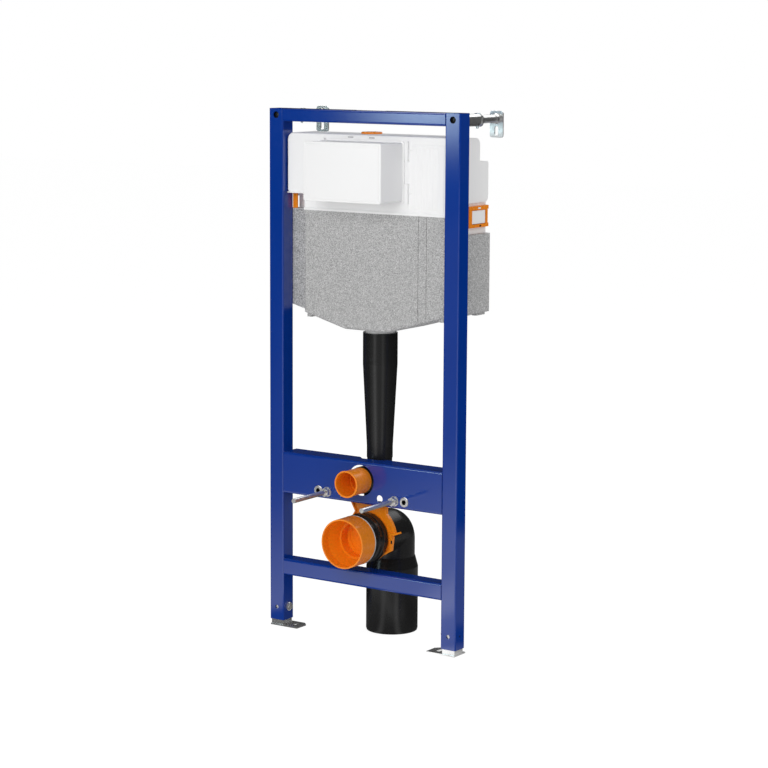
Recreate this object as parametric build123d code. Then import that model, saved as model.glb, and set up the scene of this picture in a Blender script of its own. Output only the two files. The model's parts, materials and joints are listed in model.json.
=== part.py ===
from build123d import *
import math
import os

# Wall hung toilet frame: a steel installation frame that carries a concealed
# cistern, its flush pipe and its waste bend. All lengths are in millimetres.
# While it is drawn, X = 0 is the centre line of the frame, Y = 0 the front face
# of the posts with +Y to the wall, and Z = 0 the floor.

# Steel frame
frame_width = 500.0
frame_top = 1171.0
post_width = 38.0
post_wall = 2.0
post_corner = 3.0
foot_gap = 14.0
sheet = 2.5
fold_radius = 5.0

# Top rail
top_rail_height = 28.0
top_rail_depth = 36.0
top_notch_half_width = 40.0
top_notch_depth = 10.0

# Beam that carries the bowl
fixing_height = 326.5
beam_below_studs = 16.5
beam_height = 94.0
beam_depth = 50.0
beam_lip = 38.0
beam_notch_half_width = 36.0
beam_notch_floor_half = 22.0
beam_notch_depth = 13.0
stud_spacing = 180.0
socket_spacing = 230.0
flush_hole = 69.0
service_hole = 16.5
service_spacing = 100.0

# Lower rail
lower_rail_bottom = 121.0
lower_rail_height = 37.0
lower_rail_depth = 38.0

# Telescopic feet
foot_tube_clearance = 0.5
foot_tube_wall = 2.0
foot_tube_length = 330.0
foot_plate = 3.0
foot_plate_inner = 174.5
foot_plate_outer = 248.0
foot_plate_depth = 45.0
foot_plate_chamfer = 10.0
foot_slot_x = 196.0
foot_slot_y = 24.0
foot_slot_length = 20.0
foot_slot_width = 9.0
lock_height = 43.4
lock_hole = 9.0
lock_bolt = 8.0
lock_bolt_clearance = 0.2
lock_head_flats = 13.0
lock_head_height = 5.5
lock_washer = 18.0
lock_washer_thickness = 1.6
side_hole = 5.0

# Wall brackets
access_hole = 15.0
access_drop = 14.0
rod_drop = 15.5
rod_diameter = 18.0
rod_clearance = 0.3
rod_front = 8.0
rod_groove = 2.0
rod_groove_drop = 3.5
sleeve_width = 22.0
sleeve_height = 26.0
sleeve_drop = 1.0
sleeve_corner = 9.0
sleeve_length = 64.4
sleeve_flange = 4.0
sleeve_flange_step = 1.5
wall_plane = 178.0
wall_plate = 3.0
wall_plate_width = 33.0
wall_plate_height = 57.5
wall_plate_drop = 12.5
wall_plate_corner = 6.0
wall_slot_width = 9.0
wall_slot_length = 21.0
wall_slot_drop = 26.5
rod_boss = 22.0
rod_boss_length = 9.0

# Bowl studs and outer sockets
stud_diameter = 10.6
stud_core = 9.6
stud_relief = 0.2
stud_front = -127.0
stud_back = 26.0
stud_fit = 0.1
stud_hole_clearance = 0.6
nut_flats = 18.0
nut_height = 10.0
washer_diameter = 22.0
washer_thickness = 2.5
socket_flange = 22.5
socket_flange_thickness = 1.5
socket_barrel = 15.0
socket_bore = 11.0
socket_depth = 20.0
socket_fit = 0.1

# Cistern tank
tank_wall = 3.0
tank_front = 12.0
tank_side_gap = 3.0
tank_top = 1119.0
tank_corner = 16.0
tank_low_corner = 9.0
tank_edge = 4.0
tank_front_bottom = 951.0
tank_cutback = 45.0
tank_shoulder_z = 986.0
tank_front_depth = 95.0
tank_back_start = 62.0
tank_back_step = 7.0
tank_back_drop = 4.0
tank_upper_back = 134.0
tank_step_z = 1064.0
tank_step_corner = 5.0
tank_back = 169.0
tank_side_bottom = 976.0
tank_side_corner = 12.0
tank_neck_step = 3.5
tank_neck_bottom = 908.8
tank_body_inset = 62.0
tank_body_front = 26.0
tank_body_bottom = 716.0

# Insulation jacket round the lower tank
jacket_gap = 0.3
jacket_side = 4.0
jacket_parting = 62.0
jacket_bottom = 692.5
jacket_flat_half_width = 55.0
jacket_slope_half_width = 163.0
jacket_slope_z = 722.0
jacket_side_bottom = 737.0
jacket_back = 177.0
jacket_corner = 7.0
jacket_nub = 11.0
jacket_nub_drop = 6.0
jacket_nub_places = (-151.0, 197.0)
jacket_back_nub_front = 125.0
jacket_back_nub_back = 160.0
jacket_groove = 1.6
jacket_groove_depth = 1.2
jacket_groove_places = (139.0, 160.0)

# Access shroud and its cover
shroud_half_width = 100.0
shroud_bottom = 979.0
shroud_top = 1105.0
shroud_wall = 3.0
shroud_base_step = 4.0
shroud_base = 4.0
cover_front = -77.0
cover_thickness = 8.0
cover_corner = 5.0
cover_edge = 2.0
clip_width = 9.0
clip_depth = 6.0
clip_height = 43.0
clip_gap = 1.0

# Inlet plug and side inlet frames
plug_x = -20.0
plug_y = 66.0
plug_diameter = 46.0
plug_rise = 4.0
plug_stem = 24.0
plug_stem_depth = 14.0
side_frame_front = 85.0
side_frame_back = 160.5
side_frame_tab = 3.5
side_frame_bottom = 923.2
side_frame_top = 969.5
side_frame_thickness = 8.0
side_frame_front_bar = 12.0
side_frame_back_bar = 7.0
side_frame_top_bar = 9.0
side_frame_bottom_bar = 7.0
side_frame_notch = 8.0
side_panel_rise = 6.5
side_panel_gap = 1.0
seat_gap = 0.3

# Flush pipe and bend
pipe_y = 74.0
pipe_wall = 3.0
pipe_top = 684.0
pipe_top_diameter = 77.0
pipe_taper_top = 615.0
pipe_foot = 25.7
pipe_bottom_diameter = 58.0
flush_above_studs = 35.8
flush_bend_radius = 42.0
flush_bend_diameter = 56.0
flush_socket = 60.0
flush_socket_front = 0.0
flush_socket_back = 28.0
bend_foot_half_width = 12.0
bend_foot_front = 30.0
bend_foot_top = 336.0
outlet_diameter = 66.0
outlet_fit = 0.3
outlet_depth = 57.0

# Flush cap
flush_cap_diameter = 57.5
flush_cap_front = -57.0
flush_cap_wall = 2.2
flush_cap_rim = 1.2
flush_cap_spigot = 53.4
flush_cap_ledge_y = -3.0
flush_cap_floor = 12.0
flush_cap_back = 20.0
flush_cap_fit = 0.3

# Waste bend, collar, clamp and caps
waste_below_studs = 95.0
waste_y = 126.0
waste_diameter = 102.0
waste_wall = 3.5
waste_bend_radius = 22.0
bend_start = 28.0
bend_drop = 119.5
collar_front = -21.0
collar_diameter = 104.0
collar_bore = 94.0
collar_front_rib = 109.0
collar_front_rib_y = -15.0
collar_front_rib_width = 6.0
collar_middle_rib = 111.0
collar_middle_rib_y = 2.0
collar_middle_rib_width = 14.0
collar_back_rib = 111.5
collar_back_rib_y = 18.8
collar_back_rib_width = 17.6
collar_rib_slope = 2.0
seal_front = -23.0
seal_diameter = 108.0
waste_cap_diameter = 110.0
waste_cap_front = -71.0
waste_cap_wall = 3.0
waste_cap_taper_y = -50.0
waste_cap_ledge = 85.0
waste_cap_ledge_y = -20.0
waste_cap_inner = 76.0
waste_cap_floor = 3.0
waste_cap_ring = 60.0
waste_cap_ring_depth = 1.5
waste_cap_spigot = 93.4
waste_cap_spigot_back = 10.0
reducer_overlap = 60.0
reducer_flare = 24.0
reducer_diameter = 117.0
reducer_lip = 1.2
reducer_lip_height = 4.0
drain_bore = 110.8
drain_stop_drop = 8.0
reducer_bottom = 1.0
clamp_plate_y = 32.0
clamp_plate = 4.0
clamp_strap = 3.5
clamp_strap_step = 2.0
clamp_rim = 5.0
clamp_rim_width = 3.5
clamp_neck_right = 49.0
clamp_top_left = 48.0
clamp_neck_left = 34.5
clamp_neck_drop = 24.5
clamp_side_left = 67.0
clamp_arc = 74.0
clamp_arc_rise = 11.0
clamp_side_half_width = 66.5
clamp_side_rise = 5.0
clamp_corner_half_width = 63.0
clamp_corner_drop = 25.5
clamp_tip_half_width = 17.6
clamp_tip_drop = 52.5
clamp_lug_length = 20.0
clamp_lug_thickness = 4.0
clamp_lug_x = 75.0
clamp_lug_rise = 14.5
clamp_lug_tilt = 20.0
clamp_slot_x = 60.5
clamp_slot_drop = 4.5
clamp_slot_width = 3.0
clamp_slot_height = 10.0

# Values that follow from the sizes above
post_x = frame_width / 2 - post_width / 2
post_y = post_width / 2
post_inner = frame_width / 2 - post_width
foot_tube = post_width - 2 * post_wall - 2 * foot_tube_clearance
rail_length = 2 * post_inner
beam_bottom = fixing_height - beam_below_studs
beam_top = beam_bottom + beam_height
top_rail_bottom = frame_top - top_rail_height
access_height = frame_top - access_drop
rod_height = frame_top - rod_drop
wall_plate_z = rod_height - wall_plate_drop
wall_slot_z = rod_height - wall_slot_drop
sleeve_back = post_width + sleeve_length
sleeve_z = rod_height - sleeve_drop
stud_free_back = -washer_thickness - nut_height - stud_relief
tank_half_width = post_inner - tank_side_gap
tank_back_half_width = tank_half_width + tank_back_step
tank_neck_half_width = tank_back_half_width - tank_neck_step
tank_body_half_width = tank_half_width - tank_body_inset
tank_shoulder_x = tank_cutback - tank_half_width
jacket_half_width = tank_back_half_width + jacket_side
jacket_side_top = tank_neck_bottom - jacket_gap
shroud_back = tank_front - seat_gap
flush_height = fixing_height + flush_above_studs
bend_start_y = pipe_y - flush_bend_radius
bend_top_z = flush_height + flush_bend_radius
pipe_taper_bottom = bend_top_z + pipe_foot
waste_height = fixing_height - waste_below_studs
bend_end = waste_height - bend_drop
reducer_top = bend_end + reducer_overlap
# the part's origin is the middle of the left foot, on its underside
to_origin = Pos(post_x, -post_y, 0)


def block(x0, x1, y0, y1, z0, z1):
    return Pos((x0 + x1) / 2, (y0 + y1) / 2, (z0 + z1) / 2) * Box(x1 - x0, y1 - y0, z1 - z0)


def bar_y(diameter, y0, y1, x, z):
    return Pos(x, (y0 + y1) / 2, z) * Rot(90, 0, 0) * Cylinder(diameter / 2, y1 - y0)


def bar_x(diameter, x0, x1, y, z):
    return Pos((x0 + x1) / 2, y, z) * Rot(0, 90, 0) * Cylinder(diameter / 2, x1 - x0)


def bar_z(diameter, z0, z1, x, y):
    return Pos(x, y, (z0 + z1) / 2) * Cylinder(diameter / 2, z1 - z0)


def hex_y(flats, y0, y1, x, z):
    outline = RegularPolygon(flats / 2, 6, major_radius=False, rotation=30)
    return Pos(x, y1, z) * extrude(Plane.XZ * outline, y1 - y0)


def turned_y(outline, x, z):
    """A solid of revolution about a line along Y, from (radius, y) points."""
    face = make_face(Polyline(*outline, close=True))
    return Pos(x, 0, z) * revolve(face, Axis.Y)


def turned_z(outline, x, y):
    """A solid of revolution about a line along Z, from (radius, z) points."""
    face = make_face(Polyline(*[(r, 0, z) for r, z in outline], close=True))
    return Pos(x, y, 0) * revolve(face, Axis.Z)


def front_prism(outline, y0, y1):
    """Extrude an (x, z) outline along Y."""
    face = make_face(Polyline(*[(x, y0, z) for x, z in outline], close=True))
    return extrude(face, y1 - y0, dir=(0, 1, 0))


def folded_channel(length, z0, z1, upper, lower):
    """A sheet folded to a channel that is open at the back, with rounded folds."""
    outer = block(-length / 2, length / 2, 0, max(upper, lower), z0, z1)
    outer = fillet(outer.edges().filter_by(Axis.X).group_by(Axis.Y)[0], fold_radius)
    inner = block(-length, length, sheet, 2 * max(upper, lower), z0 + sheet, z1 - sheet)
    inner = fillet(inner.edges().filter_by(Axis.X).group_by(Axis.Y)[0], fold_radius - sheet)
    channel = outer - inner
    middle = (z0 + z1) / 2
    if lower < upper:
        channel -= block(-length, length, lower, 2 * upper, z0 - sheet, middle)
    return channel


def make_post(side):
    profile = RectangleRounded(post_width, post_width, post_corner)
    hollow = RectangleRounded(post_width - 2 * post_wall, post_width - 2 * post_wall, post_corner - post_wall)
    post = Pos(0, 0, foot_gap) * extrude(profile, frame_top - foot_gap)
    post -= Pos(0, 0, foot_gap - post_wall) * extrude(hollow, frame_top - foot_gap)
    post = Pos(side * post_x, post_y, 0) * post
    x = side * post_x
    post -= bar_y(access_hole, -post_wall, 2 * post_wall, x, access_height)
    post -= bar_y(rod_diameter + 2 * rod_clearance, post_y, post_width + post_wall, x, rod_height)
    post -= bar_y(lock_hole, -post_wall, post_width + post_wall, x, lock_height)
    inner_face = side * post_inner
    post -= bar_x(lock_bolt + 2 * lock_bolt_clearance, inner_face - 2 * post_wall, inner_face + 2 * post_wall,
                  post_y, lock_height)
    outer_face = side * frame_width / 2
    post -= bar_x(side_hole, outer_face - 2 * post_wall, outer_face + 2 * post_wall, post_y, lock_height)
    return post


def make_top_rail():
    rail = folded_channel(rail_length, top_rail_bottom, frame_top, top_rail_depth, top_rail_depth)
    notch = block(-top_notch_half_width, top_notch_half_width, top_rail_depth - top_notch_depth,
                  top_rail_depth + sheet, frame_top - 2 * sheet, frame_top + sheet)
    return rail - notch


def make_beam():
    beam = folded_channel(rail_length, beam_bottom, beam_top, beam_depth, beam_lip)
    floor_y = beam_depth - beam_notch_depth
    notch = [(-beam_notch_half_width, beam_depth + sheet), (-beam_notch_half_width, beam_depth),
             (-beam_notch_floor_half, floor_y), (beam_notch_floor_half, floor_y),
             (beam_notch_half_width, beam_depth), (beam_notch_half_width, beam_depth + sheet)]
    cut = extrude(make_face(Polyline(*notch, close=True)), 3 * sheet)
    beam -= Pos(0, 0, beam_top - 2 * sheet) * cut
    beam -= bar_y(flush_hole, -sheet, 2 * sheet, 0, flush_height)
    for side in (-1, 1):
        beam -= bar_y(stud_diameter + 2 * stud_hole_clearance, -sheet, 2 * sheet,
                      side * stud_spacing / 2, fixing_height)
        beam -= bar_y(socket_barrel + 2 * socket_fit, -sheet, 2 * sheet,
                      side * socket_spacing / 2, fixing_height)
        beam -= bar_y(service_hole, -sheet, 2 * sheet, side * service_spacing / 2, fixing_height)
    return beam


def make_lower_rail():
    return folded_channel(rail_length, lower_rail_bottom, lower_rail_bottom + lower_rail_height,
                          lower_rail_depth, lower_rail_depth)


def make_foot(side):
    profile = RectangleRounded(foot_tube, foot_tube, post_corner - post_wall)
    hollow = RectangleRounded(foot_tube - 2 * foot_tube_wall, foot_tube - 2 * foot_tube_wall, 0.5)
    tube = extrude(profile - hollow, foot_tube_length - foot_plate)
    tube = Pos(side * post_x, post_y, foot_plate) * tube
    outline = [(foot_plate_outer, 0), (foot_plate_outer, foot_plate_depth),
               (foot_plate_inner + foot_plate_chamfer, foot_plate_depth),
               (foot_plate_inner, foot_plate_depth - foot_plate_chamfer), (foot_plate_inner, 0)]
    outline = [(side * x, y) for x, y in outline]
    plate = extrude(make_face(Polyline(*outline, close=True)), foot_plate, dir=(0, 0, 1))
    slot = extrude(SlotOverall(foot_slot_length, foot_slot_width, rotation=90), 3 * foot_plate)
    plate -= Pos(side * foot_slot_x, foot_slot_y, -foot_plate) * slot
    return plate + tube


def make_foot_bolt(side):
    """A hex bolt through the post's inner wall that presses on the foot tube."""
    face = side * post_inner
    tip = side * (post_x - foot_tube / 2 - lock_bolt_clearance)
    washer_end = face - side * lock_washer_thickness
    head_end = washer_end - side * lock_head_height
    bolt = bar_x(lock_bolt, min(washer_end, tip), max(washer_end, tip), post_y, lock_height)
    bolt += bar_x(lock_washer, min(face, washer_end), max(face, washer_end), post_y, lock_height)
    head = extrude(Plane.YZ * RegularPolygon(lock_head_flats / 2, 6, major_radius=False), lock_head_height)
    bolt += Pos(min(washer_end, head_end), post_y, lock_height) * head
    return bolt


def make_wall_plate(side):
    """The slotted plate against the wall, with the round boss that holds the rod."""
    outline = RectangleRounded(wall_plate_width, wall_plate_height, wall_plate_corner)
    plate = Pos(side * post_x, wall_plane, wall_plate_z) * extrude(Plane.XZ * outline, wall_plate)
    slot = SlotOverall(wall_slot_length, wall_slot_width, rotation=90)
    plate -= Pos(side * post_x, wall_plane + wall_plate, wall_slot_z) * extrude(Plane.XZ * slot, 3 * wall_plate)
    face = wall_plane - wall_plate
    boss = [(0, face), (rod_boss / 2, face), (rod_boss / 2, face - rod_boss_length / 2),
            (rod_diameter / 2, face - rod_boss_length), (0, face - rod_boss_length)]
    return plate + turned_y(boss, side * post_x, rod_height)


def make_wall_rod(side):
    """The bar between the wall plate and the inside of the post, grooved on both sides."""
    back = wall_plane - wall_plate - rod_boss_length
    rod = bar_y(rod_diameter, rod_front, back, side * post_x, rod_height)
    groove_z = rod_height - rod_groove_drop
    for flank in (-1, 1):
        x = side * post_x + flank * rod_diameter / 2
        rod -= block(x - rod_groove, x + rod_groove, rod_front - 1, back + 1,
                     groove_z - rod_groove / 2, groove_z + rod_groove / 2)
    return rod


def make_rod_sleeve(side):
    """The guide on the back of the post that the bar slides in, with its end flange."""
    x = side * post_x
    outline = RectangleRounded(sleeve_width, sleeve_height, sleeve_corner)
    sleeve = Pos(x, sleeve_back, sleeve_z) * extrude(Plane.XZ * outline, sleeve_length)
    lip = RectangleRounded(sleeve_width + 2 * sleeve_flange_step, sleeve_height + 2 * sleeve_flange_step,
                           sleeve_corner)
    sleeve += Pos(x, sleeve_back, sleeve_z) * extrude(Plane.XZ * lip, sleeve_flange)
    return sleeve - bar_y(rod_diameter + 2 * rod_clearance, post_width - 1, sleeve_back + 1, x, rod_height)


def make_stud(side):
    """The long stud, a little thinner where the nuts hold it."""
    x = side * stud_spacing / 2
    stud = bar_y(stud_core, stud_free_back, stud_back, x, fixing_height)
    return stud + bar_y(stud_diameter, stud_front, stud_free_back, x, fixing_height)


def make_stud_nut(side):
    x = side * stud_spacing / 2
    front = -washer_thickness - nut_height
    nut = hex_y(nut_flats, front, -washer_thickness, x, fixing_height)
    return nut - bar_y(stud_core + 2 * stud_fit, front - 1, 0, x, fixing_height)


def make_stud_washer(side):
    x = side * stud_spacing / 2
    washer = bar_y(washer_diameter, -washer_thickness, 0, x, fixing_height)
    return washer - bar_y(stud_core + 2 * stud_fit, -washer_thickness - 1, 1, x, fixing_height)


def make_weld_nut(side):
    """The nut welded inside the beam that the stud is screwed into."""
    x = side * stud_spacing / 2
    nut = hex_y(nut_flats, sheet, sheet + nut_height, x, fixing_height)
    return nut - bar_y(stud_core + 2 * stud_fit, 0, sheet + 2 * nut_height, x, fixing_height)


def make_outer_socket(side):
    x = side * socket_spacing / 2
    rim = socket_flange / 2
    outline = [(socket_bore / 2, -socket_flange_thickness), (rim - 1, -socket_flange_thickness), (rim, 0),
               (socket_barrel / 2, 0), (socket_barrel / 2, socket_depth), (socket_bore / 2, socket_depth)]
    return turned_y(outline, x, fixing_height)


def tank_front_shape(inset):
    """The tank's front half, cut back at its lower left corner."""
    left = inset - tank_half_width
    right = tank_half_width - inset
    top = tank_top - inset
    bottom = tank_front_bottom + inset
    shoulder_x = tank_shoulder_x + inset
    shoulder_z = tank_shoulder_z + inset
    outline = [(left, shoulder_z), (left, top), (right, top), (right, bottom), (shoulder_x, bottom),
               (shoulder_x, shoulder_z)]
    shape = front_prism(outline, tank_front + inset, tank_front_depth - inset)
    for column, row, radius in ((0, -1, tank_corner), (0, 0, tank_low_corner), (-1, -1, tank_edge)):
        corner = shape.edges().filter_by(Axis.Y).group_by(Axis.X)[column].sort_by(Axis.Z)[row]
        shape = fillet(corner, radius - inset / 2)
    return fillet(shape.faces().sort_by(Axis.Y)[0].edges(), tank_edge - inset)


def rounded_back_edge(shape, row, radius):
    """Round the rear edge along X that is lowest (row 0) or highest (row -1)."""
    return fillet(shape.edges().filter_by(Axis.X).group_by(Axis.Z)[row].group_by(Axis.Y)[-1], radius)


def tank_shape(inset):
    """The tank's outer form, moved inwards by inset on every side."""
    half = tank_back_half_width - inset
    start = tank_back_start + inset
    upper = block(-half, half, start, tank_upper_back - inset, tank_step_z - 2 * tank_corner,
                  tank_top - tank_back_drop - inset)
    upper = rounded_back_edge(upper, -1, tank_corner - inset)
    sides = block(-half, half, start, tank_back - inset, tank_side_bottom + inset, tank_step_z - inset)
    sides = rounded_back_edge(sides, -1, tank_step_corner - inset)
    sides = rounded_back_edge(sides, 0, tank_side_corner - inset)
    neck_half = tank_neck_half_width - inset
    neck = block(-neck_half, neck_half, start, tank_back - tank_neck_step - inset, tank_neck_bottom + inset,
                 tank_step_z - 2 * tank_corner)
    body_half = tank_body_half_width - inset
    body = block(-body_half, body_half, tank_body_front + inset, tank_back - tank_neck_step - inset,
                 tank_body_bottom + inset, tank_shoulder_z)
    body = fillet(body.edges().filter_by(Axis.Y).group_by(Axis.Z)[0], tank_corner - inset)
    return tank_front_shape(inset) + upper + sides + neck + body


def side_frame_window(x0, x1, gap):
    """The opening of a side inlet frame between two X values, smaller by a gap all round."""
    front = side_frame_front + side_frame_front_bar + gap
    back = side_frame_back - side_frame_back_bar - gap
    bottom = side_frame_bottom + side_frame_bottom_bar + gap
    return block(x0, x1, front, back, bottom, side_frame_top - side_frame_top_bar - gap)


def make_tank():
    tank = tank_shape(0) - tank_shape(tank_wall)
    opening = shroud_half_width - 2 * shroud_wall
    tank -= block(-opening, opening, tank_front - 1, tank_front + 2 * tank_wall,
                  shroud_bottom + 2 * shroud_wall, shroud_top - 2 * shroud_wall)
    tank -= bar_z(plug_stem + 2 * seat_gap, tank_top - 2 * tank_wall, tank_top + 1, plug_x, plug_y)
    outlet = outlet_diameter - 2 * pipe_wall
    tank -= bar_z(outlet, tank_body_bottom - 1, tank_body_bottom + 2 * tank_wall, 0, pipe_y)
    half = tank_neck_half_width + side_panel_rise
    panels = side_frame_window(-half, half, side_panel_gap)
    inside = tank_neck_half_width - tank_wall / 2
    return tank + (panels - block(-inside, inside, 0, 2 * tank_back, tank_neck_bottom, tank_side_bottom))


def make_tank_outlet():
    """The white spigot under the tank that the flush pipe's socket slides over."""
    r = outlet_diameter / 2
    bottom = pipe_top - outlet_depth
    outline = [(r - pipe_wall, bottom), (r, bottom), (r, tank_body_bottom), (r - pipe_wall, tank_body_bottom)]
    return turned_z(outline, 0, pipe_y)


def jacket_slope(x):
    """The height of the jacket's under side at a distance x from its middle."""
    rise = (jacket_slope_z - jacket_bottom) / (jacket_slope_half_width - jacket_flat_half_width)
    return jacket_bottom + rise * max(0, abs(x) - jacket_flat_half_width)


def jacket_outline(left, right, top):
    """The jacket seen from the front: flat in the middle, rising to both sides."""
    corners = [left, -jacket_flat_half_width, jacket_flat_half_width, right]
    return [(x, jacket_slope(x)) for x in corners] + [(right, top), (left, top)]


def jacket_wings(top):
    """The jacket's full width, whose under side rises more slowly."""
    slope_x = jacket_slope_half_width
    half = jacket_half_width
    return [(-half, jacket_side_bottom), (-slope_x, jacket_slope_z), (slope_x, jacket_slope_z),
            (half, jacket_side_bottom), (half, top), (-half, top)]


def jacket_hollow():
    outlet = bar_z(pipe_top_diameter, jacket_bottom - 1, tank_body_bottom + 1, 0, pipe_y)
    return tank_shape(-jacket_gap) + outlet


def make_jacket_front():
    top = tank_front_bottom - jacket_gap
    shell = front_prism(jacket_outline(tank_shoulder_x, tank_half_width, top), tank_front, jacket_parting)
    rim = shell.faces().sort_by(Axis.Y)[0].edges().sort_by(Axis.Z)[:-1]
    shell = fillet(rim, jacket_corner)
    shell += front_prism(jacket_wings(top), post_width + seat_gap, jacket_parting)
    for x in jacket_nub_places:
        z = jacket_slope(x)
        shell += block(x - jacket_nub / 2, x + jacket_nub / 2, tank_front + jacket_corner / 2,
                       tank_front + jacket_corner + jacket_nub, z - jacket_nub_drop, z + jacket_nub)
    for x in jacket_groove_places:
        shell -= block(x - jacket_groove / 2, x + jacket_groove / 2, tank_front - 1,
                       tank_front + jacket_groove_depth, jacket_bottom, top + 1)
    return shell - jacket_hollow()


def make_jacket_back():
    middle = jacket_outline(-jacket_slope_half_width, jacket_slope_half_width, jacket_side_top)
    shell = front_prism(middle, jacket_parting, jacket_back)
    shell += front_prism(jacket_wings(jacket_side_top), jacket_parting, jacket_back)
    shell = fillet(shell.faces().sort_by(Axis.Y)[-1].edges(), jacket_corner)
    for side in (-1, 1):
        outer = side * (jacket_half_width - jacket_corner / 2)
        inner = outer - side * jacket_nub
        shell += block(min(inner, outer), max(inner, outer), jacket_back_nub_front, jacket_back_nub_back,
                       jacket_side_bottom - jacket_nub_drop, jacket_side_bottom + jacket_nub)
    return shell - jacket_hollow()


def make_shroud():
    """The four walls that stand out round the tank's service opening."""
    back = shroud_back
    front = cover_front + cover_thickness
    box = block(-shroud_half_width, shroud_half_width, front, back, shroud_bottom, shroud_top)
    box = fillet(box.edges().filter_by(Axis.Y), cover_corner)
    step = shroud_base_step
    base = block(-shroud_half_width - step, shroud_half_width + step, back - shroud_base, back,
                 shroud_bottom - step, shroud_top + step)
    base = fillet(base.edges().filter_by(Axis.Y), cover_corner + step)
    inside = shroud_half_width - shroud_wall
    hollow = block(-inside, inside, front - 1, back + 1, shroud_bottom + shroud_wall, shroud_top - shroud_wall)
    return box + base - hollow


def make_cover():
    half = shroud_half_width + cover_edge / 2
    cover = block(-half, half, cover_front, cover_front + cover_thickness - seat_gap,
                  shroud_bottom - cover_edge / 2, shroud_top + cover_edge / 2)
    cover = fillet(cover.edges().filter_by(Axis.Y), cover_corner)
    return fillet(cover.faces().sort_by(Axis.Y)[0].edges(), cover_edge)


def make_clips(side):
    """The two catches beside the shroud's base, at its top and bottom."""
    inner = shroud_half_width + shroud_base_step + clip_gap
    clips = []
    for z0 in (shroud_bottom - shroud_base_step, shroud_top + shroud_base_step - clip_height):
        x0 = min(side * inner, side * (inner + clip_width))
        catch = block(x0, x0 + clip_width, shroud_back - clip_depth, shroud_back, z0, z0 + clip_height)
        clips.append(fillet(catch.edges().filter_by(Axis.Z).group_by(Axis.Y)[0], clip_depth / 3))
    return Compound(children=clips)


def make_inlet_plug():
    rim = plug_diameter / 2
    stem = plug_stem / 2
    top = tank_top + plug_rise
    outline = [(0, top), (rim - 1, top), (rim, top - 1), (rim, tank_top), (stem, tank_top),
               (stem, tank_top - plug_stem_depth), (0, tank_top - plug_stem_depth)]
    return turned_z(outline, plug_x, plug_y)


def make_side_frame(side):
    """The orange surround of the knock-out for a side water inlet, with a tab at each back corner."""
    seat = side * (tank_neck_half_width + seat_gap)
    face = seat + side * side_frame_thickness
    x0 = min(seat, face)
    x1 = max(seat, face)
    frame = block(x0, x1, side_frame_front, side_frame_back + side_frame_tab, side_frame_bottom, side_frame_top)
    frame -= side_frame_window(x0 - 1, x1 + 1, 0)
    return frame - block(x0 - 1, x1 + 1, side_frame_back, side_frame_back + 2 * side_frame_tab,
                         side_frame_bottom + side_frame_notch, side_frame_top - side_frame_notch)


def make_flush_pipe():
    top_r = pipe_top_diameter / 2
    low_r = pipe_bottom_diameter / 2
    bore_top = outlet_diameter / 2 + outlet_fit
    outline = [(top_r, pipe_top), (top_r, pipe_taper_top), (low_r, pipe_taper_bottom), (low_r, bend_top_z),
               (low_r - pipe_wall, bend_top_z), (low_r - pipe_wall, pipe_taper_bottom),
               (bore_top - pipe_wall, pipe_taper_top), (bore_top, pipe_taper_top), (bore_top, pipe_top)]
    return turned_z(outline, 0, pipe_y)


def flush_turn(diameter):
    """The flush bend's quarter turn with the short level run in front of it."""
    start = Plane(origin=(0, bend_start_y, flush_height), x_dir=(1, 0, 0), z_dir=(0, 1, 0))
    axis = Axis((0, bend_start_y, bend_top_z), (1, 0, 0))
    turn = revolve(start * Circle(diameter / 2), axis, revolution_arc=90)
    return turn + bar_y(diameter, flush_socket_back, bend_start_y, 0, flush_height)


def make_flush_bend():
    """The bend with its socket, and a foot that stands on the beam's lower flange."""
    r = flush_bend_diameter / 2
    foot = block(-bend_foot_half_width, bend_foot_half_width, bend_foot_front, beam_lip, beam_bottom + sheet,
                 bend_foot_top)
    bend = flush_turn(flush_bend_diameter) + foot - flush_turn(flush_bend_diameter - 2 * pipe_wall)
    big = flush_socket / 2
    bore = flush_cap_spigot / 2 + flush_cap_fit
    socket = turned_y([(bore, flush_socket_front), (big, flush_socket_front),
                       (big, flush_socket_back - pipe_wall), (r, flush_socket_back + pipe_wall / 2),
                       (r - pipe_wall, flush_socket_back + pipe_wall / 2),
                       (r - pipe_wall, flush_socket_back - pipe_wall),
                       (bore, flush_socket_back - 2 * pipe_wall)], 0, flush_height)
    return bend + socket


def make_flush_cap():
    """The open cup that closes the flush connection until the bowl is fitted."""
    r = flush_cap_diameter / 2
    t = flush_cap_wall
    spigot = flush_cap_spigot / 2
    outline = [(r - t, flush_cap_front), (r + flush_cap_rim, flush_cap_front),
               (r + flush_cap_rim, flush_cap_front + flush_cap_wall),
               (r, flush_cap_front + flush_cap_wall + flush_cap_rim), (r, flush_socket_front),
               (spigot, flush_socket_front), (spigot, flush_cap_back), (spigot - t, flush_cap_back),
               (spigot - t, flush_cap_floor + t), (0, flush_cap_floor + t), (0, flush_cap_floor),
               (spigot - t, flush_cap_floor), (spigot - t, flush_cap_ledge_y), (r - t, flush_cap_ledge_y)]
    return turned_y(outline, 0, flush_height)


def elbow_solid(diameter, y0, z0):
    """Two pipes joined by a swept outer corner; their inner corner is a mitre."""
    turn_y = waste_y - waste_bend_radius
    turn_z = waste_height - waste_bend_radius
    level = bar_y(diameter, y0, turn_y, 0, waste_height)
    upright = bar_z(diameter, z0, turn_z, 0, waste_y)
    disc = Pos(0, waste_bend_radius) * Circle(diameter / 2)
    half = disc & Pos(0, diameter) * Rectangle(2 * diameter, 2 * diameter)
    turn = Plane(origin=(0, turn_y, turn_z), x_dir=(1, 0, 0), z_dir=(0, -1, 0)) * half
    corner = revolve(turn, Axis((0, turn_y, turn_z), (-1, 0, 0)), revolution_arc=90)
    return level + upright + corner


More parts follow.
